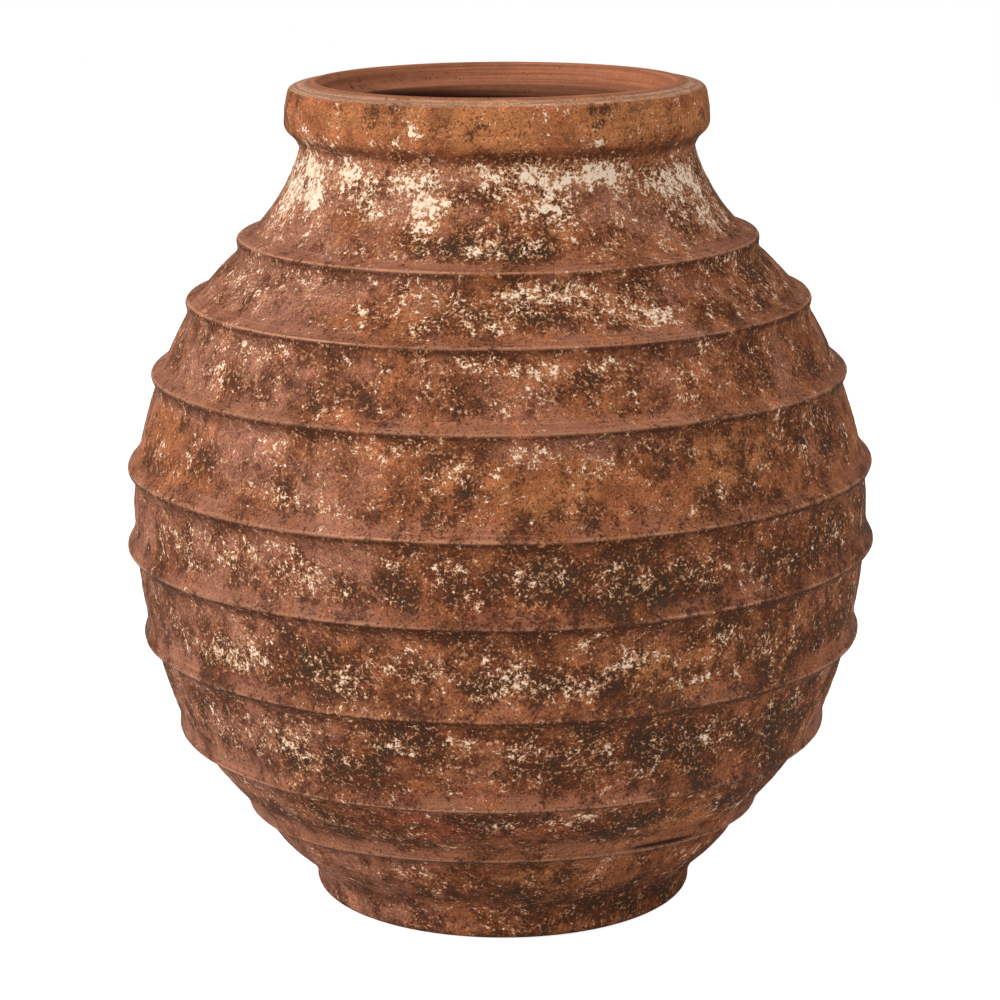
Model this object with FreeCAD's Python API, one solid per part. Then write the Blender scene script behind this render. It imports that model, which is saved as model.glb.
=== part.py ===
import FreeCAD, Part
import math
import os

# A greek pithos: a large storage jar, raised in courses of clay on a turning board.
# Millimetres, +Z up, with the origin in the middle of the flat underside.
# Each piece is a ring about Z. It is drawn as a half section, r outwards and z upwards,
# and two pieces that meet are drawn through the same points, so their faces lie together.

# Floor and foot
floor_thickness = 22.0
floor_bevel = 8.0
foot_ground_radius = 150.0
foot_coil_width = 26.0
foot_edge_round = 13.0
foot_flare = 17.0
foot_height = 20.0
foot_top_width = 27.0

# Height of each wall course, from the foot up, measured between the crests of its bands
course_1_rise = 61.5
course_2_rise = 72.0
course_3_rise = 82.0
course_4_rise = 78.5
course_5_rise = 68.5
course_6_rise = 79.0
course_7_rise = 62.0
course_8_rise = 52.0

# Radius of the belly, at the crest of the fourth band, and how far each other band is set in
# from the one next to it on the side of the belly
belly_radius = 319.0
band_3_set_in = 11.5
band_2_set_in = 29.0
band_1_set_in = 57.5
band_5_set_in = 2.0
band_6_set_in = 22.5
band_7_set_in = 31.0
band_8_set_in = 44.0

# The wall and the scarfed seam between two courses
wall_thickness = 22.0
course_bulge = 0.8
scarf_rise = 7.0

# A band: how far it stands off the wall, how far it spreads, and the groove that keys it
lowest_band_stand = 4.5
band_stand = 8.0
band_spread_above = 18.0
band_spread_below = 12.0
band_key_depth = 3.0
crest_round = 3.5
crest_turn = 50.0
flank_hollow = 0.15

# Neck, up to its narrowest line
neck_rise = 72.5
waist_radius = 165.7
neck_wall = 24.0
neck_hollow = 4.4

# Tongue on the neck's top edge, which the rim coil is pressed down over
tongue_width = 8.0
tongue_height = 7.0

# Rim: the roll outside, the flat top, the dished seat inside it and the throat under the seat
rim_height = 52.0
roll_reach = 12.8
roll_underside_reach = 9.2
roll_underside_rise = 13.5
roll_underside_hollow = 1.6
roll_widest_rise = 23.0
roll_underside_bulge = 1.2
roll_taper = 2.8
roll_side_bulge = 0.7
rim_edge_round = 7.0
mouth_edge_round = 4.5
seat_width = 17.0
seat_depth = 14.0
seat_hollow = 3.0
lip_reach = 10.7
lip_round = 3.5
throat_length = 20.0

CENTRE = FreeCAD.Vector(0, 0, 0)
UP = FreeCAD.Vector(0, 0, 1)

course_rises = [course_1_rise, course_2_rise, course_3_rise, course_4_rise,
                course_5_rise, course_6_rise, course_7_rise, course_8_rise]

band_3_radius = belly_radius - band_3_set_in
band_2_radius = band_3_radius - band_2_set_in
band_1_radius = band_2_radius - band_1_set_in
band_5_radius = belly_radius - band_5_set_in
band_6_radius = band_5_radius - band_6_set_in
band_7_radius = band_6_radius - band_7_set_in
band_8_radius = band_7_radius - band_8_set_in
band_radii = [band_1_radius, band_2_radius, band_3_radius, belly_radius,
              band_5_radius, band_6_radius, band_7_radius, band_8_radius]


def at(r, z):
    """A point of the half section"""
    return FreeCAD.Vector(r, 0, z)


def middle(a, b):
    """The point halfway between two points"""
    return (a + b) * 0.5


def outward(a, b):
    """The unit direction square to the line from a up to b, pointing away from the axis"""
    step = b - a
    return FreeCAD.Vector(step.z, 0, -step.x).normalize()


def corner(centre, radius, degrees):
    """The point of a rounded corner at an angle above the outward direction"""
    turn = math.radians(degrees)
    return centre + at(math.cos(turn), math.sin(turn)) * radius


class Section:
    """A half section, drawn edge by edge and then turned about Z into one ring"""

    def __init__(self, start):
        self.start = start
        self.here = start
        self.edges = []

    def line_to(self, *points):
        for point in points:
            self.edges.append(Part.makeLine(self.here, point))
            self.here = point

    def arc_to(self, through, end):
        self.edges.append(Part.Arc(self.here, through, end).toShape())
        self.here = end

    def bow_to(self, end, height):
        """An arc that stands off its chord: outwards if height is positive, hollow if not"""
        low, high = sorted((self.here, end), key=lambda point: point.z)
        through = middle(low, high) + outward(low, high) * height
        self.arc_to(through, end)

    def ring(self):
        self.line_to(self.start)
        return Part.Face(Part.Wire(self.edges)).revolve(CENTRE, UP, 360)


class Seam:
    """The joint between two courses, the groove cut over it and the band pressed into the groove"""

    def __init__(self, crest, below, above, stand):
        self.crest = crest
        self.out = outward(below, above)
        self.along = (above - below).normalize()
        self.stand = stand
        wall = crest - self.out * stand
        bed = self.out * band_key_depth
        self.band_top = wall + self.along * band_spread_above
        self.band_foot = wall - self.along * band_spread_below
        self.bed_top = self.band_top - bed
        self.bed_foot = self.band_foot - bed
        self.outer = wall - bed
        self.inner = wall - self.out * wall_thickness + self.along * scarf_rise


# Where the main lines of the jar come to
floor_edge_radius = foot_ground_radius - foot_coil_width
foot_top = at(foot_ground_radius + foot_flare, foot_height)
heel = at(foot_top.x - foot_top_width, floor_thickness)
floor_top_edge = at(floor_edge_radius + floor_bevel, floor_thickness)

crests = []
crest_height = foot_height
for rise, radius in zip(course_rises, band_radii):
    crest_height += rise
    crests.append(at(radius, crest_height))

waist = at(waist_radius, crest_height + neck_rise)
stations = [foot_top] + crests + [waist]

seams = []
for number, crest in enumerate(crests, start=1):
    stand = lowest_band_stand if number == 1 else band_stand
    seams.append(Seam(crest, stations[number - 1], stations[number + 1], stand))

neck_inner_radius = waist_radius - neck_wall
throat_radius = neck_inner_radius - lip_reach
rim_top = waist.z + rim_height
seat_height = rim_top - seat_depth


def floor_disc():
    """The slab that the jar is started from, with a bevelled edge for the foot to grip"""
    section = Section(CENTRE)
    section.line_to(at(floor_edge_radius, 0))
    section.line_to(floor_top_edge)
    section.line_to(at(0, floor_thickness))
    return section.ring()


def foot_ring():
    """The coil round the floor slab, rounded where it meets the ground"""
    edge_centre = at(foot_ground_radius, foot_edge_round)
    section = Section(at(floor_edge_radius, 0))
    section.line_to(at(foot_ground_radius, 0))
    section.arc_to(corner(edge_centre, foot_edge_round, -45), corner(edge_centre, foot_edge_round, 0))
    section.line_to(foot_top, heel, floor_top_edge)
    return section.ring()


def wall_course(lower, upper):
    """A band of wall from one seam to the next, grooved at both edges for the bands"""
    section = Section(lower.outer)
    section.line_to(lower.bed_top, lower.band_top)
    section.bow_to(upper.band_foot, course_bulge)
    section.line_to(upper.bed_foot, upper.outer, upper.inner)
    out = outward(lower.band_top, upper.band_foot)
    outside = middle(lower.band_top, upper.band_foot) + out * course_bulge
    section.arc_to(outside - out * wall_thickness, lower.inner)
    return section.ring()


def lowest_course(upper):
    """The first course, which stands on the foot ring and the edge of the floor"""
    section = Section(foot_top)
    section.bow_to(upper.band_foot, course_bulge)
    section.line_to(upper.bed_foot, upper.outer, upper.inner)
    out = outward(foot_top, upper.band_foot)
    outside = middle(foot_top, upper.band_foot) + out * course_bulge
    section.arc_to(outside - out * wall_thickness, heel)
    return section.ring()


def joint_band(seam):
    """The rib over a seam: a strip of clay keyed into its groove and drawn out to a soft crest"""
    centre = seam.crest - seam.out * crest_round
    turn = math.radians(crest_turn)
    rise = seam.along * (crest_round * math.sin(turn))
    reach = seam.out * (crest_round * math.cos(turn))
    flank_top = centre + reach + rise
    flank_foot = centre + reach - rise
    hollow = seam.out * (seam.stand * flank_hollow)
    section = Section(seam.bed_foot)
    section.line_to(seam.band_foot)
    section.arc_to(middle(seam.band_foot, flank_foot) - hollow, flank_foot)
    section.arc_to(seam.crest, flank_top)
    section.arc_to(middle(flank_top, seam.band_top) - hollow, seam.band_top)
    section.line_to(seam.bed_top)
    return section.ring()


def tongue_and_groove():
    """The line of the joint under the rim, from the outside of the neck to its inside"""
    joint_middle = (waist_radius + neck_inner_radius) / 2
    tongue_outside = joint_middle + tongue_width / 2
    tongue_inside = joint_middle - tongue_width / 2
    tongue_top = waist.z + tongue_height
    return [waist, at(tongue_outside, waist.z), at(tongue_outside, tongue_top),
            at(tongue_inside, tongue_top), at(tongue_inside, waist.z), at(neck_inner_radius, waist.z)]


def neck_collar(seam):
    """The shoulder and neck, swept in from the top band to the narrowest line of the jar"""
    section = Section(seam.outer)
    section.line_to(seam.bed_top, seam.band_top)
    section.bow_to(waist, -neck_hollow)
    section.line_to(*tongue_and_groove()[1:])
    out = outward(seam.band_top, waist)
    outside = middle(seam.band_top, waist) - out * neck_hollow
    section.arc_to(outside - out * neck_wall, seam.inner)
    return section.ring()


def rim_coil():
    """The heavy rolled rim, with a dished seat for a lid inside its mouth"""
    widest_radius = waist_radius + roll_reach
    underside = at(waist_radius + roll_underside_reach, waist.z + roll_underside_rise)
    widest = at(widest_radius, waist.z + roll_widest_rise)
    edge_centre = at(widest_radius - roll_taper - rim_edge_round, rim_top - rim_edge_round)
    seat_foot = at(throat_radius + lip_round, seat_height)
    mouth_radius = seat_foot.x + seat_width - lip_round
    mouth_centre = at(mouth_radius + mouth_edge_round, rim_top - mouth_edge_round)
    lip_centre = at(throat_radius + lip_round, seat_height - lip_round)
    throat_foot = seat_height - lip_round - throat_length

    section = Section(waist)
    section.bow_to(underside, -roll_underside_hollow)
    section.bow_to(widest, roll_underside_bulge)
    section.bow_to(corner(edge_centre, rim_edge_round, 0), roll_side_bulge)
    section.arc_to(corner(edge_centre, rim_edge_round, 45), corner(edge_centre, rim_edge_round, 90))
    section.line_to(corner(mouth_centre, mouth_edge_round, 90))
    section.arc_to(corner(mouth_centre, mouth_edge_round, 135), corner(mouth_centre, mouth_edge_round, 180))
    section.bow_to(seat_foot, seat_hollow)
    section.arc_to(corner(lip_centre, lip_round, 135), corner(lip_centre, lip_round, 180))
    section.line_to(at(throat_radius, throat_foot))
    section.line_to(*reversed(tongue_and_groove()[1:]))
    return section.ring()


pieces = {"floor_disc": floor_disc(), "foot_ring": foot_ring(), "wall_course_1": lowest_course(seams[0])}
for number in range(2, len(seams) + 1):
    pieces[f"wall_course_{number}"] = wall_course(seams[number - 2], seams[number - 1])
for number, seam in enumerate(seams, start=1):
    pieces[f"joint_band_{number}"] = joint_band(seam)
pieces["neck_collar"] = neck_collar(seams[-1])
pieces["rim_coil"] = rim_coil()

os.makedirs("parts", exist_ok=True)
for name, shape in pieces.items():
    shape.exportStep(f"parts/{name}.step")
    box = shape.optimalBoundingBox(False)
    litres = shape.Volume / 1e6
    print(f"{name:15} z {box.ZMin:6.1f} to {box.ZMax:6.1f}  radius {box.XMax:6.1f}  clay {litres:5.2f} litres")
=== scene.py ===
# %% [markdown]
# # A Greek pithos
# A pithos is the big clay storage jar of the Greek world. It is too large to throw in one go. The
# potter raises it in courses on a turning board, lets each one stiffen, lutes the next one on top
# and presses a band of clay over the joint. The bands stay as ribs. This jar has weathered for
# years: lime has dried on it in patches, soot has darkened it, and bare clay shows where it is worn.
#
# The frame holds the jar's twenty pieces as plain solids, in metres, with the origin in the middle
# of the foot. Everything below takes its sizes from them, so the jar can't drift away from its CAD.

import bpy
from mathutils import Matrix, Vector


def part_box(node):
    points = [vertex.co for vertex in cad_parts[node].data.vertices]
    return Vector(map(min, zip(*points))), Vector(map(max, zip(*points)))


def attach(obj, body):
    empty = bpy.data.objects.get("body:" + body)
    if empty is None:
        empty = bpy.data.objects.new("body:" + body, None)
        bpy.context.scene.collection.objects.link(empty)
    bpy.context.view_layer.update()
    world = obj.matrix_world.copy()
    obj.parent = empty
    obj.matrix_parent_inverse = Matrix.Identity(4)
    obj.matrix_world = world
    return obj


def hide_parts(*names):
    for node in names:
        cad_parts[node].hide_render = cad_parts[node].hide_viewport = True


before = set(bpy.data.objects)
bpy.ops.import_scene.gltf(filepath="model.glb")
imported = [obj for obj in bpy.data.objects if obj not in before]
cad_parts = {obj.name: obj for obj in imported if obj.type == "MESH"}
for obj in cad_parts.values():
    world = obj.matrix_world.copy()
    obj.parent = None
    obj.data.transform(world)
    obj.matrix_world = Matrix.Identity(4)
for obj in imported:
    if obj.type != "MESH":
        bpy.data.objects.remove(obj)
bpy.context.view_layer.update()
print("pieces in the frame:", len(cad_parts))

# %% Other modules and units
import math
from collections import namedtuple
from types import SimpleNamespace

import bmesh
import bpy
import numpy as np

MM = 0.001
jar_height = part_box("rim_coil")[1].z
jar_radius = max(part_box(node)[1].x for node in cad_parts)
print(f"height {jar_height:.3f} m, radius {jar_radius:.3f} m")

# %% [markdown]
# ## Where the pieces meet
# Each solid is a ring turned about the upright axis, so its corners lie on level circles. A circle
# is two numbers, a radius and a height. Two pieces that touch share circles, and those mark the
# joint. Reading them from the meshes is safer than typing the sizes in again.

# %% Read the circles and the joints
SAME = 0.05 * MM


def corners(node):
    """The corners of a turned solid as rows of radius and height"""
    points = np.array([vertex.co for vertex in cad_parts[node].data.vertices])
    return np.c_[np.hypot(points[:, 0], points[:, 1]), points[:, 2]]


def circles(node):
    """The level circles that a solid's corners lie on"""
    return np.unique(corners(node).round(5), axis=0)


def joint(node, other):
    """The circles that two pieces share, from the inside of the jar to the outside"""
    theirs = circles(other)
    shared = [circle for circle in circles(node) if np.hypot(*(theirs - circle).T).min() < SAME]
    return sorted(shared, key=lambda circle: circle[0])


def joint_ends(node, other):
    """The inner and the outer end of a joint, with the circles between them left out"""
    shared = joint(node, other)
    return shared[0], shared[-1]


COURSES = [f"wall_course_{number}" for number in range(1, 9)]
BANDS = [f"joint_band_{number}" for number in range(1, 9)]
above_band = COURSES[1:] + ["neck_collar"]

seams = [joint_ends(below, above) for below, above in zip(COURSES, above_band)]
band_feet = [joint_ends(band, below) for band, below in zip(BANDS, COURSES)]
band_tops = [joint_ends(band, above) for band, above in zip(BANDS, above_band)]
floor_joint = joint_ends("floor_disc", "foot_ring")
foot_joint = joint_ends("foot_ring", "wall_course_1")
rim_joint = joint("neck_collar", "rim_coil")
print("band feet in mm:", [tuple(float(n) for n in (end / MM).round(1)) for _, end in band_feet])
print("circles in the rim joint:", len(rim_joint))

# %% [markdown]
# ## The outside and the inside of the jar
# At every height the jar has one outer radius and one inner radius. The section edges of all the
# pieces give both: the farthest edge out is the outside, and the nearest one to the axis is the
# inside. The two lines are then softened a little, as a wet hand softens the clay. Fingers also
# pinch the wall in just above the foot, so the foot stands out below it.

# %% Trace the two outlines
LEVEL_STEP = 0.25 * MM
levels = np.arange(0, jar_height + LEVEL_STEP / 2, LEVEL_STEP)
levels[-1] = jar_height


def section_edges(node):
    """The edges of a solid's half section, one row each: radius, height, radius, height"""
    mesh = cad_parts[node].data
    ends = np.array([edge.vertices[:] for edge in mesh.edges])
    edges = corners(node)[ends].round(6).reshape(-1, 4)
    upwards = edges[:, 1] <= edges[:, 3]
    edges = np.where(upwards[:, None], edges, edges[:, [2, 3, 0, 1]])
    edges = np.unique(edges, axis=0)
    return edges[edges[:, 3] - edges[:, 1] > 1e-6]


def trace(pick):
    """The radius at every level, where pick is np.fmax for the outside or np.fmin for the inside"""
    radii = np.full(len(levels), np.nan)
    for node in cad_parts:
        if node == "floor_disc":
            continue
        for r_low, z_low, r_high, z_high in section_edges(node):
            on = (levels >= z_low - 1e-7) & (levels <= z_high + 1e-7)
            share = (levels[on] - z_low) / (z_high - z_low)
            radii[on] = pick(radii[on], r_low + share * (r_high - r_low))
    return radii


def soften(line, reach):
    """The line with each point drawn towards its neighbours within that reach along it"""
    run = np.r_[0, np.cumsum(np.hypot(*np.diff(line, axis=0).T))]
    even = np.arange(0, run[-1], LEVEL_STEP)
    track = np.c_[np.interp(even, run, line[:, 0]), np.interp(even, run, line[:, 1])]
    offsets = np.arange(-3 * reach, 3 * reach + LEVEL_STEP / 2, LEVEL_STEP)
    weights = np.exp(-0.5 * (offsets / reach) ** 2)
    pad = len(offsets) // 2
    mirrored = np.r_[2 * track[0] - track[pad:0:-1], track, 2 * track[-1] - track[-2:-pad - 2:-1]]
    return np.c_[[np.convolve(column, weights / weights.sum(), "valid") for column in mirrored.T]].T


OUTSIDE_REACH, INSIDE_REACH = 1.3 * MM, 2.0 * MM
outside = soften(np.c_[trace(np.fmax), levels], OUTSIDE_REACH)
inside = soften(np.c_[trace(np.fmin), levels], INSIDE_REACH)
outside[:, 1] = np.maximum.accumulate(outside[:, 1].clip(0))
inside[:, 1] = np.maximum.accumulate(inside[:, 1])


def hump(centre, spread):
    """A smooth hump along the outside, 1 at its highest"""
    return np.exp(-((outside[:, 1] - centre) / spread) ** 2)


foot_swell, swell_height, swell_spread = 0.8 * MM, 6 * MM, 5 * MM
foot_pinch, pinch_height, pinch_spread = 6.5 * MM, 33 * MM, 15 * MM
outside[:, 0] += foot_swell * hump(swell_height, swell_spread)
outside[:, 0] -= foot_pinch * hump(pinch_height, pinch_spread)
print(f"outside {len(outside)} points, widest {outside[:, 0].max():.4f} m")

# %% [markdown]
# ## The half sections
# A turned piece is known once its half section is drawn: a closed line that runs up the outside,
# across the joint above, down the inside and back through the joint below. Neighbours are drawn
# through the same circles, so the pieces close up on each other without a gap.

# %% Draw the half section of each piece
OUTER_STEP = 1.8 * MM
INNER_STEP = 6.0 * MM


def stretch(line, start, end, step):
    """Even points of an outline from one height to another, both ends included"""
    low, high = sorted((start, end))
    run = np.r_[0, np.cumsum(np.hypot(*np.diff(line, axis=0).T))]
    first, last = np.interp([low, high], line[:, 1], run)
    places = np.linspace(first, last, max(2, round((last - first) / step) + 1))
    points = np.c_[np.interp(places, run, line[:, 0]), np.interp(places, run, line[:, 1])]
    points[0, 1], points[-1, 1] = low, high
    return points if start < end else points[::-1]


def straight(start, end, step):
    """Even points on a straight run, without its ends"""
    count = max(1, round(np.hypot(*np.subtract(end, start)) / step))
    shares = np.arange(1, count)[:, None] / count
    return np.array(start) + shares * np.subtract(end, start)


sections = {}

underside_edge, floor_edge = floor_joint
heel, foot_top = foot_joint
axis_low, axis_high = (0, 0), (0, floor_edge[1])
sections["floor_disc"] = [
    axis_low, *straight(axis_low, underside_edge, INNER_STEP), underside_edge,
    floor_edge, *straight(floor_edge, axis_high, INNER_STEP), axis_high,
]
sections["foot_ring"] = [
    underside_edge, *straight(underside_edge, outside[0], INNER_STEP),
    *stretch(outside, 0, foot_top[1], OUTER_STEP), heel, floor_edge,
]

course_starts = [foot_top[1]] + [surface_top[1] for _, surface_top in band_tops]
for number, course in enumerate(COURSES):
    bed_foot, surface_foot = band_feet[number]
    inner, outer = seams[number]
    lower = [] if number == 0 else [seams[number - 1][1], band_tops[number - 1][0]]
    inner_foot = heel if number == 0 else seams[number - 1][0]
    sections[course] = [
        *lower, *stretch(outside, course_starts[number], surface_foot[1], OUTER_STEP),
        bed_foot, outer, *stretch(inside, inner[1], inner_foot[1], INNER_STEP),
    ]

for number, band in enumerate(BANDS):
    bed_foot, surface_foot = band_feet[number]
    bed_top, surface_top = band_tops[number]
    crown = stretch(outside, surface_foot[1], surface_top[1], OUTER_STEP / 2)
    sections[band] = [bed_foot, *crown, bed_top, seams[number][1]]

radii = sorted({round(circle[0], 5) for circle in rim_joint}, reverse=True)
joint_low, tongue_top = min(c[1] for c in rim_joint), max(c[1] for c in rim_joint)
tongue_out, tongue_in = radii[1], radii[2]
tongue = [(tongue_out, joint_low), (tongue_out, tongue_top), (tongue_in, tongue_top), (tongue_in, joint_low)]
inner, outer = seams[-1]
sections["neck_collar"] = [
    outer, band_tops[-1][0], *stretch(outside, band_tops[-1][1][1], joint_low, OUTER_STEP),
    *tongue, *stretch(inside, joint_low, inner[1], INNER_STEP),
]
sections["rim_coil"] = [
    *stretch(outside, joint_low, jar_height, OUTER_STEP),
    *straight(outside[-1], inside[-1], OUTER_STEP),
    *stretch(inside, jar_height, joint_low, OUTER_STEP), *reversed(tongue),
]
print("points in the sections:", {node: len(points) for node, points in sections.items()})

# %% [markdown]
# ## A helper for node trees
# Geometry Nodes and materials are both made of nodes and links. This small class adds a node, sets
# its choices and feeds its inputs in one line, so that a recipe below reads like a formula.

# %% Node helper
FULL_SWING = 3.0


class Recipe:
    """Adds nodes to a tree. An input takes a number, a vector or another node's output."""

    def __init__(self, tree):
        self.tree = tree

    def add(self, kind, feeds=None, **choices):
        node = self.tree.nodes.new(kind)
        for name, choice in choices.items():
            setattr(node, name, choice)
        for key, feed in (feeds or {}).items():
            if isinstance(feed, bpy.types.NodeSocket):
                self.tree.links.new(feed, node.inputs[key])
            else:
                node.inputs[key].default_value = feed
        return node

    def math(self, operation, *values):
        return self.add("ShaderNodeMath", dict(enumerate(values)), operation=operation).outputs[0]

    def plus(self, *values):
        total = values[0]
        for value in values[1:]:
            total = self.math("ADD", total, value)
        return total

    def minus(self, a, b):
        return self.math("SUBTRACT", a, b)

    def times(self, *values):
        total = values[0]
        for value in values[1:]:
            total = self.math("MULTIPLY", total, value)
        return total

    def weigh(self, *terms):
        """The sum of values that are each given with their weight"""
        return self.plus(*(value if weight == 1 else self.times(value, weight) for value, weight in terms))

    def most(self, *values):
        """The largest of the values"""
        top = values[-1]
        for value in values[-2::-1]:
            top = self.math("MAXIMUM", value, top)
        return top

    def length(self, vector):
        return self.add("ShaderNodeVectorMath", {0: vector}, operation="LENGTH").outputs["Value"]

    def step(self, value, low, high):
        """Rises smoothly from 0 at low to 1 at high"""
        feeds = {"Value": value, "From Min": low, "From Max": high}
        return self.add("ShaderNodeMapRange", feeds, interpolation_type="SMOOTHSTEP").outputs[0]

    def rest(self, share):
        """What a share leaves of one whole"""
        return self.minus(1.0, share)

    def vector(self, x, y, z):
        return self.add("ShaderNodeCombineXYZ", {0: x, 1: y, 2: z}).outputs[0]

    def split(self, vector):
        return self.add("ShaderNodeSeparateXYZ", {0: vector}).outputs

    def scale(self, vector, factors):
        return self.add("ShaderNodeVectorMath", {0: vector, 1: factors}, operation="MULTIPLY").outputs[0]

    def shift(self, vector, offset):
        return self.add("ShaderNodeVectorMath", {0: vector, 1: offset}, operation="ADD").outputs[0]

    def swing(self, vector, scale, detail=1.0, roughness=0.5, distortion=0.0):
        """Noise that swings about nought and stays mostly between -1 and 1"""
        feeds = {"Vector": vector, "Scale": scale, "Detail": detail,
                 "Roughness": roughness, "Distortion": distortion}
        return self.times(self.add("ShaderNodeTexNoise", feeds, normalize=False).outputs[0], FULL_SWING)

    def mix(self, share, under, over):
        """One colour laid over another"""
        node = self.add("ShaderNodeMix", data_type="RGBA")
        for socket, feed in ((node.inputs[0], share), (node.inputs[6], under), (node.inputs[7], over)):
            if isinstance(feed, bpy.types.NodeSocket):
                self.tree.links.new(feed, socket)
            else:
                socket.default_value = feed
        return node.outputs[2]


print("Recipe can:", ", ".join(name for name in vars(Recipe) if name[0] != "_"))

# %% [markdown]
# ## The potter's wheel
# Every piece is its half section carried round the axis. A Screw or Spin modifier would do that,
# but a hand-made jar isn't quite round: it leans, its bands rise and fall, and the fingers leave
# rings. Geometry Nodes can turn the section and bend it by the same rule for all the pieces, so
# the joints still meet. The tree lays a grid, moves each of its points to the place that its row
# and column have on the turned piece, and then bends the result by noise that depends on place.

# %% Turn a section on the wheel
INPUTS = [
    ("Steps", "Int", 540), ("Widest", "Float", 0.3), ("Wobble", "Float", 0.0), ("Lumps", "Float", 0.0),
    ("Rings", "Float", 0.0), ("Ring Pitch", "Float", 0.01), ("Wave", "Float", 0.0),
    ("Lean", "Float", 0.0), ("Rim Tilt", "Float", 0.0), ("Rim Nod", "Float", 0.0),
    ("Crown", "Float", 0.0), ("Rim Radius", "Float", 0.1),
    ("Height", "Float", 1.0), ("Lift", "Float", 0.0), ("Lift Height", "Float", 0.1),
    ("Lift Spread", "Float", 0.02),
]
WELD = 0.01 * MM


def turn_section(make, given):
    """The section carried round the axis, with each point's place kept as it was drawn"""
    count = make.add("GeometryNodeAttributeDomainSize", {0: given["Section"]}).outputs["Point Count"]
    rows = make.plus(count, 1)
    columns = make.plus(given["Steps"], 1)
    grid = make.add("GeometryNodeMeshGrid", {"Vertices X": columns, "Vertices Y": rows}).outputs["Mesh"]
    index = make.add("GeometryNodeInputIndex").outputs[0]
    column = make.math("FLOOR", make.math("DIVIDE", make.plus(index, 0.5), rows))
    row = make.minus(index, make.times(column, rows))
    on_section = make.math("FLOORED_MODULO", row, count)
    place = make.add("GeometryNodeInputPosition").outputs[0]
    feeds = {"Geometry": given["Section"], "Value": place, "Index": on_section}
    sample = make.add("GeometryNodeSampleIndex", feeds, data_type="FLOAT_VECTOR", domain="POINT").outputs[0]
    radius, _, level = make.split(sample)
    angle = make.times(make.math("DIVIDE", column, given["Steps"]), math.tau)
    drawn = make.vector(make.times(radius, make.math("COSINE", angle)),
                        make.times(radius, make.math("SINE", angle)), level)
    turned = make.add("GeometryNodeSetPosition", {"Geometry": grid, "Position": drawn}).outputs[0]
    closed = make.add("GeometryNodeMergeByDistance", {"Geometry": turned, "Distance": WELD}).outputs[0]
    feeds = {"Geometry": closed, "Name": "drawn", "Value": place}
    kept = make.add("GeometryNodeStoreNamedAttribute", feeds, data_type="FLOAT_VECTOR", domain="POINT")
    return kept.outputs[0], place


print("inputs of the wheel:", ", ".join(name for name, _, _ in INPUTS))

# %% [markdown]
# The bends are written as formulas of place. Noise makes the wall swell and sink and the bands rise
# and fall. The whole jar leans, the rim is tilted and nods to the back, its top rises towards the
# mouth as a low crown, and the lowest band is lifted at the front. The noise fades out towards the
# ground, and it pushes no point past the widest radius.

# %% Bend the jar
GROUND_FADE = 5 * MM, 70 * MM
RIM_FADE = 110 * MM, 25 * MM
CROWN_DEPTH, CROWN_FROM, CROWN_TO = 12 * MM, 10 * MM, 27 * MM
WOBBLE_SCALE, LUMP_SCALE, LUMP_DETAIL, RING_SCALE = 2.4, 17.0, 2.0, 1.6
WAVE_SCALES = 2.6, 2.6, 7.5
LIFT_FALLOFF = 1.5


def bend(make, given, place):
    """How far each point is moved from the place where it was drawn"""
    x, y, z = make.split(place)
    flat = make.vector(x, y, 0.0)
    reach = make.length(flat)
    away = make.add("ShaderNodeVectorMath", {0: flat}, operation="NORMALIZE").outputs[0]
    off_ground = make.step(z, *GROUND_FADE)
    at_rim = make.step(z, *(make.minus(given["Height"], below) for below in RIM_FADE))
    ring_place = make.vector(make.times(x, RING_SCALE), make.times(y, RING_SCALE),
                             make.math("DIVIDE", z, given["Ring Pitch"]))
    out = make.plus(
        make.times(make.swing(place, WOBBLE_SCALE), given["Wobble"]),
        make.times(make.swing(place, LUMP_SCALE, LUMP_DETAIL), given["Lumps"]),
        make.times(make.swing(ring_place, 1.0), given["Rings"]),
    )
    out = make.math("MINIMUM", make.times(out, off_ground), make.minus(given["Widest"], reach))
    rise = make.times(make.swing(make.scale(place, WAVE_SCALES), 1.0), given["Wave"],
                      off_ground, make.rest(at_rim))
    forward = make.math("DIVIDE", make.times(y, -1.0), make.math("MAXIMUM", reach, 0.01))
    off_lift = make.math("DIVIDE", make.minus(z, given["Lift Height"]), given["Lift Spread"])
    lift = make.times(given["Lift"], make.math("POWER", make.math("MAXIMUM", 0.0, forward), LIFT_FALLOFF),
                      make.math("EXPONENT", make.times(off_lift, off_lift, -1.0)))
    tilt = make.plus(given["Lean"], make.times(given["Rim Tilt"], at_rim))
    tip = make.times(tilt, make.minus(x, given["Rim Radius"]), off_ground)
    nod = make.times(given["Rim Nod"], y, at_rim, -1.0)
    on_top = make.step(z, make.minus(given["Height"], CROWN_DEPTH), given["Height"])
    inwards = make.step(reach, *(make.minus(given["Rim Radius"], inset) for inset in (CROWN_FROM, CROWN_TO)))
    crown = make.times(given["Crown"], on_top, inwards)
    slide = make.times(given["Lean"], make.minus(make.times(given["Height"], 0.5), z))
    return make.shift(make.scale(away, make.vector(out, out, out)),
                      make.vector(slide, 0.0, make.plus(rise, lift, tip, nod, crown)))


print("the noise fades in between", GROUND_FADE[0], "and", GROUND_FADE[1], "m above the ground")


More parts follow.
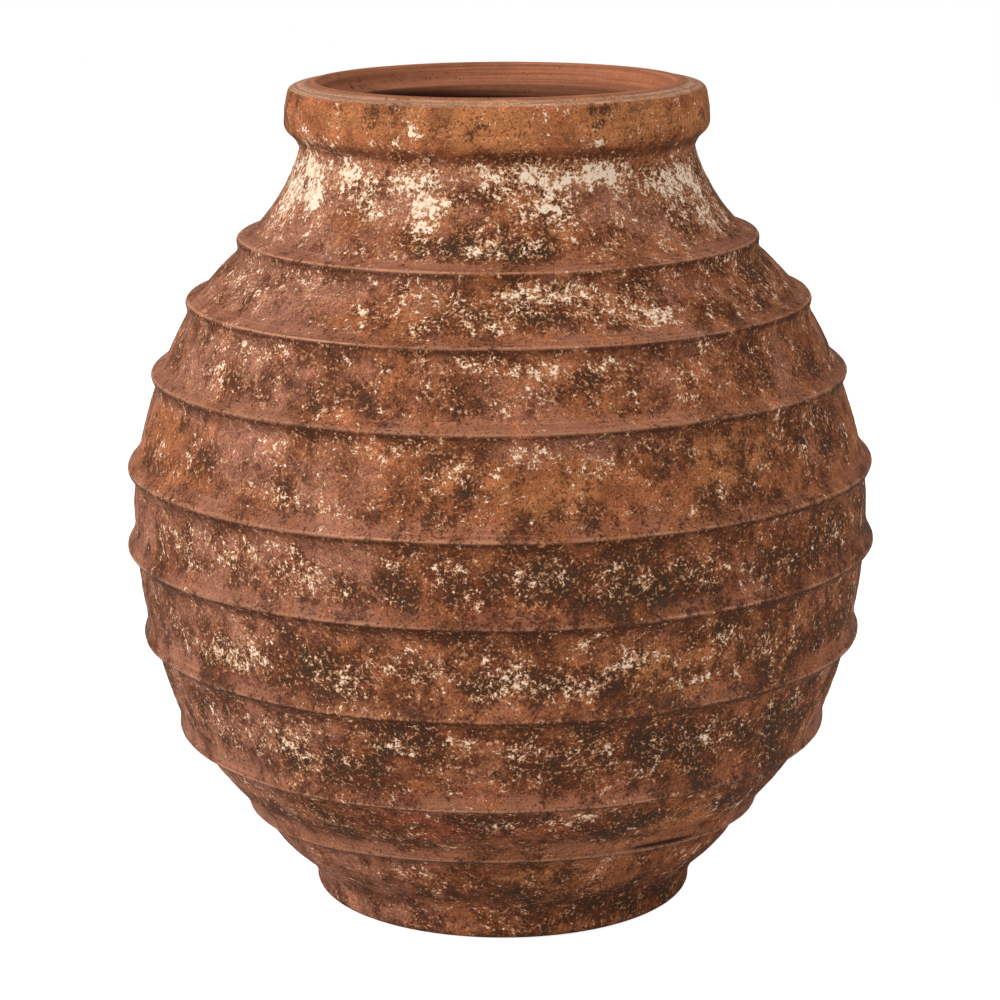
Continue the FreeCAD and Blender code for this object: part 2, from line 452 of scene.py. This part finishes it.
# %% Build the wheel
def build_wheel():
    tree = bpy.data.node_groups.new("potters_wheel", "GeometryNodeTree")
    face = tree.interface
    face.new_socket("Section", in_out="INPUT", socket_type="NodeSocketGeometry")
    for name, kind, default in INPUTS:
        face.new_socket(name, in_out="INPUT", socket_type=f"NodeSocket{kind}").default_value = default
    face.new_socket("Material", in_out="INPUT", socket_type="NodeSocketMaterial")
    face.new_socket("Piece", in_out="OUTPUT", socket_type="NodeSocketGeometry")
    make = Recipe(tree)
    given = make.add("NodeGroupInput").outputs
    turned, place = turn_section(make, given)
    offset = bend(make, given, place)
    bent = make.add("GeometryNodeSetPosition", {"Geometry": turned, "Offset": offset}).outputs[0]
    smooth = make.add("GeometryNodeSetShadeSmooth", {"Geometry": bent}).outputs[0]
    solid = make.add("GeometryNodeRealizeInstances", {"Geometry": smooth}).outputs[0]
    feeds = {"Geometry": solid, "Material": given["Material"]}
    done = make.add("GeometryNodeSetMaterial", feeds).outputs[0]
    make.add("NodeGroupOutput", {"Piece": done})
    return tree


wheel = build_wheel()
print("nodes in the wheel:", len(wheel.nodes))

# %% [markdown]
# ## Throwing the pieces
# Each section goes on the wheel as a bare row of points. The modifier is given its sizes by the
# socket's identifier, the result is kept as a plain mesh, and the modifier is dropped. Corners
# where an outer face turns into a joint stay sharp, and everything else is shaded smooth.

# %% Throw one piece
lowest_band = stretch(outside, band_feet[0][1][1], band_tops[0][1][1], MM)
settings = {
    "Steps": 540, "Widest": jar_radius, "Height": jar_height, "Rim Radius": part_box("rim_coil")[1].x,
    "Wobble": 0.36 * MM, "Lumps": 0.21 * MM, "Rings": 0.12 * MM, "Ring Pitch": 7.0 * MM, "Wave": 0.7 * MM,
    "Lean": 0.0076, "Rim Tilt": -0.0015, "Rim Nod": 0.010, "Crown": 3.6 * MM,
    "Lift": 10.5 * MM, "Lift Height": lowest_band[:, 1].mean(), "Lift Spread": 24 * MM,
}
SHARP_ANGLE = math.radians(38)


def throw(node, material):
    """The piece that stands for a node, turned on the wheel from its half section"""
    points = [(radius, 0.0, level) for radius, level in sections[node]]
    chain = bpy.data.meshes.new(node + "_section")
    chain.from_pydata(points, [], [])
    blank = bpy.data.objects.new(node + "_on_the_wheel", chain)
    bpy.context.scene.collection.objects.link(blank)
    turning = blank.modifiers.new("wheel", "NODES")
    turning.node_group = wheel
    for item in wheel.interface.items_tree:
        if item.in_out == "INPUT" and item.name in settings:
            turning[item.identifier] = settings[item.name]
        elif item.name == "Material":
            turning[item.identifier] = material
    bpy.context.view_layer.update()
    seen = blank.evaluated_get(bpy.context.evaluated_depsgraph_get())
    mesh = bpy.data.meshes.new_from_object(seen)
    blank.modifiers.remove(turning)
    bpy.data.objects.remove(blank)
    loose = bmesh.new()
    loose.from_mesh(mesh)
    bmesh.ops.recalc_face_normals(loose, faces=loose.faces)
    loose.to_mesh(mesh)
    open_edges = sum(not edge.is_manifold for edge in loose.edges)
    loose.free()
    mesh.set_sharp_from_angle(angle=SHARP_ANGLE)
    mesh.name = "clay_" + node
    piece = bpy.data.objects.new("clay_" + node, mesh)
    bpy.context.scene.collection.objects.link(piece)
    return piece, open_edges


print("wheel settings:", {name: round(float(value), 5) for name, value in settings.items()})

# %% [markdown]
# ## Where the marks are
# Lime, soot and bare clay don't lie evenly. They are laid down here as soft ovals, each with its
# place round the jar in degrees from the front, its height and its size. The edges are frayed
# later, by the material. The front follows the jar as it looks, and the back is dealt at random
# from a fixed seed, in the same mix.

# %% Marks on the front
Patch = namedtuple("Patch", "turn height wide tall strength")


def patches(*rows):
    return [Patch(*row) for row in rows]


lime_patches = patches(
    (-70, 628, 13, 34, 0.95), (-56, 632, 4, 20, 1.0), (-55, 617, 3, 10, 0.9), (-44, 642, 7, 12, 1.05),
    (-37, 624, 3, 12, 1.0), (-33, 612, 3, 8, 1.0), (-23, 641, 5, 16, 1.1), (-19, 618, 4, 14, 0.9),
    (-17, 606, 2.5, 7, 0.8), (-3, 647, 8, 9, 0.9), (10, 646, 10, 12, 1.1), (24, 643, 10, 13, 1.0),
    (12, 622, 9, 12, 0.6), (33, 641, 6, 10, 0.6), (60, 626, 11, 24, 0.85), (68, 606, 8, 14, 0.7),
    (2, 592, 11, 7, 0.45), (-25, 588, 6, 6, 0.4), (-14, 622, 5, 9, 0.45), (47, 626, 6, 14, 0.4),
    (-62, 552, 9, 14, 0.44), (-40, 560, 8, 8, 0.4), (-17, 560, 7, 8, 0.36), (9, 560, 10, 8, 0.64),
    (20, 552, 9, 12, 0.56), (0, 546, 9, 12, 0.48), (31, 541, 6, 9, 0.56), (-48, 507, 14, 7, 0.56),
    (-55, 488, 10, 10, 0.32), (-8, 513, 7, 5, 0.56), (5, 509, 8, 8, 0.44), (20, 508, 9, 7, 0.4),
    (16, 494, 9, 8, 0.32), (-33, 447, 8, 6, 0.48), (-14, 447, 7, 6, 0.52), (-6, 434, 4, 9, 0.56),
    (4, 446, 5, 7, 0.48), (13, 436, 4, 8, 0.48), (26, 447, 6, 6, 0.44), (-34, 407, 7, 10, 0.48),
    (-40, 436, 6, 8, 0.4), (-45, 352, 16, 18, 0.34), (-28, 338, 7, 14, 0.51), (-12, 365, 9, 8, 0.31),
    (8, 352, 10, 14, 0.34), (24, 345, 8, 12, 0.27), (34, 335, 6, 10, 0.27), (60, 352, 8, 16, 0.24),
    (-48, 262, 12, 12, 0.56), (-40, 272, 5, 16, 0.48), (-24, 262, 6, 18, 0.48), (-13, 277, 8, 14, 0.52),
    (1, 277, 6, 16, 0.56), (12, 262, 6, 14, 0.48), (20, 280, 6, 12, 0.48), (27, 256, 8, 8, 0.56),
    (45, 275, 5, 12, 0.56), (37, 288, 4, 10, 0.4), (-22, 238, 6, 5, 0.56), (30, 240, 10, 4, 0.48),
    (-36, 202, 6, 18, 0.6), (-52, 200, 8, 12, 0.44), (-17, 207, 6, 8, 0.6), (-6, 213, 5, 7, 0.56),
    (7, 208, 6, 8, 0.56), (15, 206, 5, 8, 0.52), (35, 204, 6, 12, 0.48), (11, 190, 8, 8, 0.36),
    (31, 178, 4, 8, 0.4), (-43, 160, 5, 5, 0.56), (-6, 157, 9, 4, 0.4), (-52, 136, 8, 6, 0.44),
    (-38, 122, 9, 8, 0.4), (-22, 116, 5, 6, 0.4), (15, 141, 5, 6, 0.76), (-18, 92, 6, 4, 0.32),
    (25, 76, 7, 4, 0.48), (-30, 24, 6, 7, 0.32), (5, 30, 8, 8, 0.24), (-21, 678, 3, 6, 0.65),
    (-27, 667, 4, 4, 0.55), (-38, 664, 4, 5, 0.6), (-52, 662, 6, 5, 0.6), (27, 668, 5, 4, 0.6),
    (38, 673, 5, 4, 0.55), (3, 661, 5, 3, 0.5), (-62, 668, 5, 6, 0.4),
)

soot_patches = patches(
    (0, 590, 16, 10, 1.8), (-17, 592, 8, 9, 1.0), (16, 620, 6, 14, 1.0), (-5, 628, 8, 9, 0.7),
    (52, 612, 7, 20, 0.7), (67, 592, 9, 9, 0.7), (-44, 624, 7, 12, 0.5), (35, 606, 12, 14, 0.35),
    (-58, 545, 9, 14, 0.5), (14, 566, 9, 6, 0.7), (10, 545, 14, 14, 0.5), (30, 552, 6, 12, 0.5),
    (-45, 485, 14, 14, 0.5), (-14, 482, 12, 13, 0.55), (14, 498, 8, 10, 0.6), (51, 492, 6, 18, 0.8),
    (68, 478, 8, 12, 0.5), (-50, 420, 9, 18, 0.6), (-34, 422, 10, 18, 0.45), (-2, 425, 9, 12, 0.1),
    (24, 438, 6, 14, 0.95), (62, 428, 12, 24, 0.9), (40, 405, 6, 10, 0.35), (-42, 345, 16, 18, 0.2),
    (-18, 340, 8, 16, 0.6), (16, 342, 14, 20, 0.5), (42, 342, 14, 20, 0.5), (2, 352, 8, 14, 0.5),
    (-28, 272, 8, 18, 0.9), (-55, 268, 12, 18, 0.5), (-5, 270, 10, 16, 0.5), (12, 275, 6, 14, 0.5),
    (57, 272, 8, 18, 0.6), (66, 262, 6, 12, 0.6), (-45, 190, 16, 22, 0.6), (-25, 185, 10, 18, 0.8),
    (-12, 205, 8, 14, 0.6), (25, 200, 10, 20, 0.85), (50, 200, 14, 20, 0.6), (8, 190, 12, 16, 0.4),
    (22, 122, 9, 16, 0.9), (2, 140, 9, 10, 0.6), (-30, 110, 12, 12, 0.5), (55, 130, 14, 16, 0.6),
    (40, 32, 16, 22, 0.8), (0, 60, 14, 12, 0.4), (-35, 45, 18, 20, 0.5), (45, 664, 5, 5, 0.8),
    (-31, 683, 6, 5, 0.35), (21, 685, 3, 8, 0.5),
)

ochre_patches = patches(
    (4, 680, 15, 14, 1.0), (-44, 684, 12, 10, 0.8), (36, 682, 12, 12, 0.9), (60, 680, 20, 14, 0.6),
    (-68, 600, 12, 12, 0.6), (-44, 608, 8, 9, 0.6), (18, 600, 8, 10, 0.5), (-68, 428, 9, 22, 1.0),
    (-52, 405, 9, 10, 0.7), (8, 418, 16, 20, 0.7), (38, 430, 9, 18, 0.9), (-20, 520, 9, 10, 0.4),
    (-30, 545, 12, 12, 0.5), (28, 275, 10, 18, 0.8), (30, 250, 8, 8, 0.8), (40, 120, 10, 16, 0.7),
    (20, 70, 16, 12, 0.7), (4, 62, 10, 10, 0.5), (78, 405, 9, 10, 0.7), (-75, 395, 8, 10, 0.6),
)

rose_patches = patches(
    (-20, 130, 16, 18, 1.0), (4, 128, 16, 22, 0.7), (-3, 345, 8, 18, 0.8), (-8, 222, 16, 9, 0.8),
    (0, 170, 20, 10, 0.6), (-20, 320, 16, 9, 0.6), (42, 165, 16, 10, 0.6), (-36, 104, 12, 7, 0.5),
    (-28, 568, 20, 5, 0.5), (15, 376, 20, 6, 0.5), (38, 560, 14, 14, 0.4),
)
# Painted shadow under the lowest band, right of the front, where the band stands out
crease_shadow = Patch(36.5, 86, 9, 2.0, 1.6)
print("patches:", len(lime_patches), len(soot_patches), len(ochre_patches), len(rose_patches))

# %% Marks on the back
DEAL_SEED = 7
DEAL_TURNS, DEAL_HEIGHTS = (80, 280), (20, 690)
dealer = np.random.RandomState(DEAL_SEED)


def deal(count, wide, tall, strength):
    """Patches at random places on the back, with sizes and strengths spread about the given ones"""
    dealt = []
    for _ in range(count):
        spread = dealer.uniform(0.6, 1.4)
        dealt.append(Patch(dealer.uniform(*DEAL_TURNS), dealer.uniform(*DEAL_HEIGHTS), wide * spread,
                           tall * dealer.uniform(0.6, 1.4), strength * dealer.uniform(0.7, 1.2)))
    return dealt


lime_patches += deal(110, 6, 11, 0.6)
soot_patches += deal(75, 10, 16, 0.65)
ochre_patches += deal(26, 12, 16, 0.8)
rose_patches += deal(16, 14, 12, 0.7)
print("with the back:", len(lime_patches), len(soot_patches), len(ochre_patches), len(rose_patches))

# %% [markdown]
# Some marks follow the shape instead. The slip on a band's upper side is rubbed smooth and pale by
# hands, with a thin painted highlight along the crest. Painted shade, with a little grime, darkens the
# clay below the crest, and the inside stays cleaner. The run along the outside, measured from each
# crest, tells where those belong.

# %% Marks that follow the bands
outside_run = np.r_[0, np.cumsum(np.hypot(*np.diff(outside, axis=0).T))]


def run_at(heights):
    return np.interp(heights, outside[:, 1], outside_run)


crests = []
for foot, top in zip(band_feet, band_tops):
    crown = stretch(outside, foot[1][1], top[1][1], 0.3 * MM)
    chord = np.subtract(top[1], foot[1])
    stand = np.cross(np.append(chord, 0), np.c_[crown - foot[1], np.zeros(len(crown))])[:, 2]
    crests.append(crown[np.abs(stand).argmax()])
print("crests at heights", [round(float(crest[1]), 4) for crest in crests])

level_knots = [0, 60, 120, 200, 270, 345, 420, 490, 545, 600, 640, 665, 700]
lime_levels = [0.08, 0.14, 0.17, 0.13, 0.14, 0.14, 0.17, 0.20, 0.28, 0.46, 0.56, 0.12, 0.05]
soot_levels = [0.95, 0.68, 0.84, 1.00, 0.96, 1.00, 0.50, 0.50, 0.46, 0.26, 0.44, 0.16, 0.10]
lime_limits = [0.85, 0.85, 0.85, 0.85, 0.85, 0.75, 0.80, 0.90, 0.95, 1.30, 1.55, 0.90, 0.90]
ochre_levels = [0.1, 0.1, 0.1, 0.1, 0.1, 0.1, 0.1, -0.1, -0.2, -0.1, -0.1, 0.35, 0.4]
level_lists = lime_levels, soot_levels, ochre_levels, lime_limits
EDGE_POWER = 1.4


def ease(values, low, high):
    """Rises smoothly from 0 at low to 1 at high, or falls if low is the larger"""
    share = np.clip((values - low) / (high - low), 0, 1)
    return share * share * (3 - 2 * share)


def window(values, start, full, fading, end):
    """Rises from 0 at start to 1 at full and falls again from fading to 0 at end"""
    return ease(values, start, full) * ease(values, end, fading)


def laid(listed, turn, height):
    """How strongly a list of patches covers each point"""
    cover = np.zeros(len(turn))
    for patch in listed:
        across = (np.mod(turn - patch.turn + 180, 360) - 180) / patch.wide
        up = (height - patch.height) / patch.tall
        cover += patch.strength * np.exp(-(across ** 2 + up ** 2) ** EDGE_POWER)
    return cover


def mark(piece):
    """Stores a piece's marks as two colour attributes, marks and places"""
    mesh = piece.data
    drawn = np.zeros(len(mesh.vertices) * 3, np.float32)
    mesh.attributes["drawn"].data.foreach_get("vector", drawn)
    x, y, z = drawn.reshape(-1, 3).T.astype(float)
    mesh.attributes.remove(mesh.attributes["drawn"])
    turn, height, radius = np.degrees(np.arctan2(x, -y)), z / MM, np.hypot(x, y)
    wall = np.interp(z, outside[:, 1], outside[:, 0]) - radius
    within = ease(wall, 6 * MM, 16 * MM) * ease(height, 2, 10)
    slip, shade = np.zeros(len(z)), np.zeros(len(z))
    for crest in crests:
        run = (run_at(z) - run_at(crest[1])) / MM
        # The second, narrow window is a painted highlight along each crest
        slip = np.maximum(slip, window(run, -2.5, 0.5, 10, 19) + 0.5 * window(run, -1.5, 0, 1, 3))
        # Painted shade below each crest: a dark line just under it and a wider falloff further down, with a
        # little grime
        near, far = window(run, -6, -3, -1.6, -0.2), window(run, -20, -4, -1.6, -0.2)
        shade = np.maximum(shade, 0.5 * near + 0.5 * far)
    slip = np.maximum(slip, 2 * ease(height, 696.5, 699) * (1 - within))
    # Painted shade on the neck just under the rim's overhang
    shade = np.maximum(shade, 0.8 * window(height, 649, 655, 659, 666))
    lime, soot, ochre, lime_limit = (np.interp(height, level_knots, levels) for levels in level_lists)
    # Painted light: towards the key lamp on the left, less soot and ochre make the clay paler and hazier
    painted_light_on_left = window(-turn, 5, 45, 90, 130) * ease(height, 668, 650)
    lime = np.minimum(lime + laid(lime_patches, turn, height), lime_limit)
    soot = soot + laid(soot_patches, turn, height) - 0.5 * painted_light_on_left
    ochre = ochre + laid(ochre_patches, turn, height) - 0.8 * painted_light_on_left
    rose = laid(rose_patches, turn, height)
    # The painted crease shadow goes into the deep shade
    crease_shadow_cover = laid([crease_shadow], turn, height).clip(0, 1)
    # Painted shade inside: the throat below the lip darkens to near black, more on the left where the rim
    # casts its shadow
    in_shadow = ease(height + 8 * x / np.maximum(radius, MM), 682, 674) * ease(height, 630, 666)
    depth = 0.5 * within * (ease(height, 687, 684.5) + in_shadow) + crease_shadow_cover
    layers = {"marks": (lime, soot, ochre, rose), "places": (slip, shade, within, depth)}
    for name, columns in layers.items():
        layer = mesh.attributes.new(name, "FLOAT_COLOR", "POINT")
        layer.data.foreach_set("color", np.column_stack(columns).astype(np.float32).ravel())


print("levels are given at heights", level_knots)

# %% [markdown]
# ## The weathered clay
# On the real jar the finish is built up in layers, so the material is too. Bare clay comes first,
# in ochre, tan and rose. Soot lies on it as a fine sponge of dark grains, lime as pale flecks that
# join up into patches, and rubbed slip covers the crests. Each layer is a noise cut at a level
# that the marks raise or lower: more of a mark lets more of the noise through. Solid noise in
# object coordinates needs no unwrapping and runs on across the joints.

# %% Colours, noises and marks
PALETTE = {
    "tan": (156, 102, 80), "brown": (160, 95, 58), "ochre": (182, 116, 70), "rose": (152, 78, 52),
    "slip": (158, 103, 77), "worn rim and crest highlight": (192, 142, 108), "inside": (160, 100, 70),
    "stain": (88, 44, 25), "dark grain": (70, 35, 19), "soot": (56, 42, 29), "grime": (70, 38, 22),
    "salt": (200, 142, 98), "halo": (184, 126, 84), "old lime": (206, 152, 108),
    "fresh lime": (247, 224, 198), "deep shade": (46, 18, 5),
}
Noise = namedtuple("Noise", "offset scale detail roughness distortion", defaults=(1.0, 0.5, 0.0))
NOISES = {
    "cloud": Noise((0.0, 0.0, 0.0), 16.0, 3.0, 0.6),
    "drift": Noise((3.1, 1.7, 0.4), 42.0, 4.0, 0.66),
    "fray": Noise((5.5, 0.2, 1.9), 46.0, 4.0, 0.68),
    "clump": Noise((1.3, 5.2, 2.2), 130.0, 3.0, 0.6),
    "curd": Noise((4.4, 2.6, 7.1), 180.0, 3.0, 0.62),
    "speck": Noise((7.7, 0.3, 4.1), 410.0),
    "grit": Noise((0.9, 8.4, 6.3), 560.0),
    "salt": Noise((6.2, 3.9, 8.8), 430.0),
    "thread": Noise((2.8, 6.1, 3.3), 200.0, 2.0, 0.6, 0.6),
}
TURNING_LINES, TURNING_DRIFT = 420.0, 5.0


def tint(name):
    """A colour of the palette, given in steps of 255 on a screen, as the linear colour that nodes use"""
    return tuple(((c / 255 + 0.055) / 1.055) ** 2.4 for c in PALETTE[name]) + (1.0,)


def gather(make):
    """All that the layers depend on, as sockets: the marks of the piece and the noises"""
    marks = make.add("ShaderNodeAttribute", attribute_name="marks").outputs
    places = make.add("ShaderNodeAttribute", attribute_name="places").outputs
    on = SimpleNamespace(rose=marks["Alpha"], depth=places["Alpha"])
    on.lime, on.soot, on.ochre = make.add("ShaderNodeSeparateColor", {0: marks["Color"]}).outputs[:3]
    on.slip, on.shade, on.within = make.add("ShaderNodeSeparateColor", {0: places["Color"]}).outputs[:3]
    spot = make.add("ShaderNodeTexCoord").outputs["Object"]
    for name, noise in NOISES.items():
        setattr(on, name, make.swing(make.shift(spot, noise.offset), *noise[1:]))
    on.worm = make.rest(make.step(make.math("ABSOLUTE", on.thread), 0.0, 0.55))
    x, y, z = make.split(spot)
    reach = make.length(make.vector(x, y, 0.0))
    on.turned = make.swing(make.vector(make.times(reach, TURNING_LINES), make.times(z, TURNING_LINES),
                                       make.times(x, TURNING_DRIFT)), 1.0, 2.0)
    return on


print("colours:", len(PALETTE), "noises:", ", ".join(NOISES))


# %% The layers of the finish
def bare_clay(make, on):
    """Ochre, tan and rose clay with a grain, rubbed slip on the crests and a painted highlight along each
    crest
    """
    warmth = make.weigh((on.cloud, 0.3), (on.ochre, 1))
    hue = make.mix(make.step(warmth, -1.1, 0.1), tint("tan"), tint("brown"))
    hue = make.mix(make.step(warmth, 0.1, 1.1), hue, tint("ochre"))
    hue = make.mix(make.step(make.weigh((on.drift, 0.25), (on.rose, 1)), 0.2, 1.1), hue, tint("rose"))
    on.rubbed = make.times(on.slip, make.step(make.weigh((on.fray, 1), (on.cloud, -0.6)), -2.6, 1.0))
    hue = make.mix(make.times(on.rubbed, 0.7), hue, tint("slip"))
    # The pale tint where slip passes 1: the worn rim top and the painted highlight along each crest
    hue = make.mix(make.times(make.step(on.slip, 1.0, 1.9), 0.75), hue, tint("worn rim and crest highlight"))
    hue = make.mix(on.within, hue, tint("inside"))
    on.smooth = make.most(make.times(on.rubbed, 0.65), make.times(on.within, 0.8), make.times(on.ochre, 0.35))
    grain = make.weigh((on.speck, 0.6), (on.grit, 0.6), (on.clump, 0.45), (on.drift, 0.25))
    on.grain = make.plus(make.times(grain, make.rest(on.smooth)), make.times(on.turned, on.smooth, 0.55))
    tone = make.math("POWER", 1.42, on.grain)
    return make.scale(hue, make.vector(tone, tone, tone))


def with_soot(make, on, clay):
    """Brown stain, dark grains and heavy soot, then painted shade and grime below the crests and the rim"""
    sooty = make.weigh((on.soot, 1.9), (on.cloud, 0.5), (on.fray, 0.75), (on.clump, 0.35),
                       (on.rubbed, -0.9), (on.ochre, -0.6), (on.within, -1.6))
    on.stain = make.step(make.weigh((sooty, 1), (on.speck, 0.3)), -0.2, 2.6)
    clay = make.mix(make.times(on.stain, 0.8), clay, tint("stain"))
    grains = make.weigh((on.speck, 1), (on.grit, 0.5), (sooty, 0.35), (on.ochre, 0.3), (on.within, -0.8))
    on.dark = make.step(grains, 0.7, 1.3)
    clay = make.mix(make.times(on.dark, 0.7), clay, tint("dark grain"))
    heavy = make.step(make.weigh((sooty, 1), (on.speck, 0.4)), 1.9, 4.4)
    clay = make.mix(make.times(heavy, 0.75), clay, tint("soot"))
    # Painted shade with some grime: the shade mask darkens the clay below each crest and under the rim
    on.grime = make.times(on.shade, make.step(make.weigh((on.fray, 1), (on.clump, 0.4)), -4.5, 0.2))
    return make.mix(make.times(on.grime, 0.9), clay, tint("grime"))


def with_lime(make, on, clay):
    """Pale salt grains, then flecks of lime with a halo round them"""
    salty = make.weigh((on.salt, 1), (on.curd, 0.5), (on.stain, 0.3), (on.smooth, -1.5), (on.lime, 1.3))
    clay = make.mix(make.times(make.step(salty, 1.35, 2.4), 0.6), clay, tint("salt"))
    limy = make.weigh((on.lime, 2.6), (on.drift, 0.75), (on.curd, 0.5), (on.salt, 0.45), (on.speck, -0.35),
                      (on.clump, -0.55), (on.worm, 2.2), (on.rubbed, -1.3), (on.within, -2.6),
                      (on.grime, -0.8))
    on.fleck = make.step(limy, 3.4, 4.2)
    clay = make.mix(make.times(make.step(limy, 2.4, 3.6), 0.6), clay, tint("halo"))
    fresh = make.step(make.weigh((on.curd, 1), (on.salt, 1), (on.lime, 1.6)), 0.0, 2.8)
    return make.mix(make.times(on.fleck, 0.95), clay, make.mix(fresh, tint("old lime"), tint("fresh lime")))


print("layers from the clay outwards: bare clay, soot, lime")

# %% Mix the clay
RELIEF_STRENGTH, RELIEF_DEPTH = 0.5, 0.5 * MM
BARE_ROUGHNESS = 0.76


def mix_clay(name):
    """A material with all the layers, each slot's own so that it can be changed alone"""
    material = bpy.data.materials.new(name)
    material.use_nodes = True
    material.node_tree.nodes.clear()
    make = Recipe(material.node_tree)
    on = gather(make)
    clay = with_lime(make, on, with_soot(make, on, bare_clay(make, on)))
    # Painted shade: the throat and the crease under the lowest band are darkened nearly to black
    clay = make.mix(make.times(on.depth, 0.95), clay, tint("deep shade"))
    relief = make.weigh((on.grain, 0.1), (on.fleck, 0.7), (on.dark, -0.3))
    feeds = {"Strength": RELIEF_STRENGTH, "Distance": RELIEF_DEPTH, "Height": relief}
    bump = make.add("ShaderNodeBump", feeds).outputs[0]
    rough = make.plus(BARE_ROUGHNESS, make.weigh((on.rubbed, -0.2), (on.dark, -0.06), (on.fleck, 0.16)))
    shader = make.add("ShaderNodeBsdfPrincipled", {"Base Color": clay, "Roughness": rough, "Normal": bump,
                      "Specular IOR Level": 0.12})
    make.add("ShaderNodeOutputMaterial", {"Surface": shader.outputs[0]})
    return material


slots = {"floor_disc": "floor_clay", "foot_ring": "foot_clay",
         "neck_collar": "neck_clay", "rim_coil": "rim_clay",
         **{node: "wall_clay" for node in COURSES}, **{node: "band_clay" for node in BANDS}}
clays = {slot: mix_clay("weathered_" + slot) for slot in sorted(set(slots.values()))}
print("clays:", sorted(clays))

# %% Throw every piece
triangles = 0
for node in sections:
    piece, open_edges = throw(node, clays[slots[node]])
    mark(piece)
    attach(piece, "root")
    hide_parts(node)
    triangles += 2 * len(piece.data.polygons)
    print(f"{node}: {len(piece.data.polygons)} faces, {open_edges} open edges")
print("about", triangles, "triangles")

# %% [markdown]
# ## The studio
# The jar stands on a pale floor in soft light: a large lamp to the front left, a weaker one to the
# right and the bright room around it. The floor and the room look white to the camera, but they
# light the jar at a plain level, so the clay keeps its colour.

# %% Floor and room
FLOOR_RADIUS, FLOOR_GREY, FLOOR_GLOW, ROOM_LIGHT = 6.0, 0.8, 0.85, 0.3
bpy.ops.mesh.primitive_circle_add(vertices=128, radius=FLOOR_RADIUS, fill_type="NGON")
floor = bpy.context.object
floor.name = "studio_floor"
paper = bpy.data.materials.new("white_paper")
paper.use_nodes = True
paper.node_tree.nodes.clear()
make = Recipe(paper.node_tree)
to_camera = make.add("ShaderNodeLightPath").outputs["Is Camera Ray"]
matt = make.add("ShaderNodeBsdfDiffuse", {"Color": (FLOOR_GREY, FLOOR_GREY, FLOOR_GREY, 1)}).outputs[0]
glow = make.add("ShaderNodeEmission", {"Strength": make.times(to_camera, FLOOR_GLOW)}).outputs[0]
lit = make.add("ShaderNodeAddShader", {0: matt, 1: glow}).outputs[0]
make.add("ShaderNodeOutputMaterial", {"Surface": lit})
floor.data.materials.append(paper)

room = bpy.data.worlds.new("bright_room")
bpy.context.scene.world = room
room.use_nodes = True
room.node_tree.nodes.clear()
make = Recipe(room.node_tree)
path = make.add("ShaderNodeLightPath").outputs
strength = make.plus(ROOM_LIGHT, make.times(path["Is Camera Ray"], 1 - ROOM_LIGHT))
sky = make.add("ShaderNodeBackground", {"Color": (1, 1, 1, 1), "Strength": strength}).outputs[0]
make.add("ShaderNodeOutputWorld", {"Surface": sky})
print("floor radius", FLOOR_RADIUS, "m, room light", ROOM_LIGHT)

# %% Lamps
Lamp = namedtuple("Lamp", "name place size power")
aim = (0, 0, 0.4)
lamps = [
    Lamp("soft_key", (-3.0, -1.9, 2.2), 2.2, 130),
    Lamp("soft_fill", (2.8, -1.8, 1.2), 2.0, 33),
    Lamp("soft_top", (0.0, 0.3, 3.2), 2.4, 20),
]
for name, place, size, power in lamps:
    data = bpy.data.lights.new(name, "AREA")
    data.energy, data.size = power, size
    lamp = bpy.data.objects.new(name, data)
    bpy.context.scene.collection.objects.link(lamp)
    lamp.location = place
    direction = np.subtract(aim, place)
    lamp.rotation_euler = (math.atan2(math.hypot(direction[0], direction[1]), -direction[2]), 0,
                           math.atan2(direction[1], direction[0]) - math.pi / 2)
bpy.context.scene.view_settings.view_transform = "Standard"
print("lamps:", ", ".join(f"{lamp.name} {lamp.power} W" for lamp in lamps))

# %% [markdown]
# ## The camera
# The photograph was taken from about three metres away and a metre up, looking down a little. A
# long lens from there shows the mouth as a narrow ellipse. The three numbers come from fitting the
# rims' and bands' ellipses.

# %% Set up the camera
camera_back, camera_up, camera_pitch = 2.897, 1.017, 13.13
lens, sensor = 124.7, 36.0
camera = bpy.data.objects.new("camera", bpy.data.cameras.new("camera"))
bpy.context.scene.collection.objects.link(camera)
camera.location = (0, -camera_back, camera_up)
camera.rotation_euler = (math.radians(90 - camera_pitch), 0, 0)
camera.data.lens, camera.data.sensor_width = lens, sensor
bpy.context.scene.camera = camera
print("camera", camera_back, "m back and", camera_up, "m up, looking down by", camera_pitch, "degrees")

# %% Finish: update the view layer
bpy.context.view_layer.update()
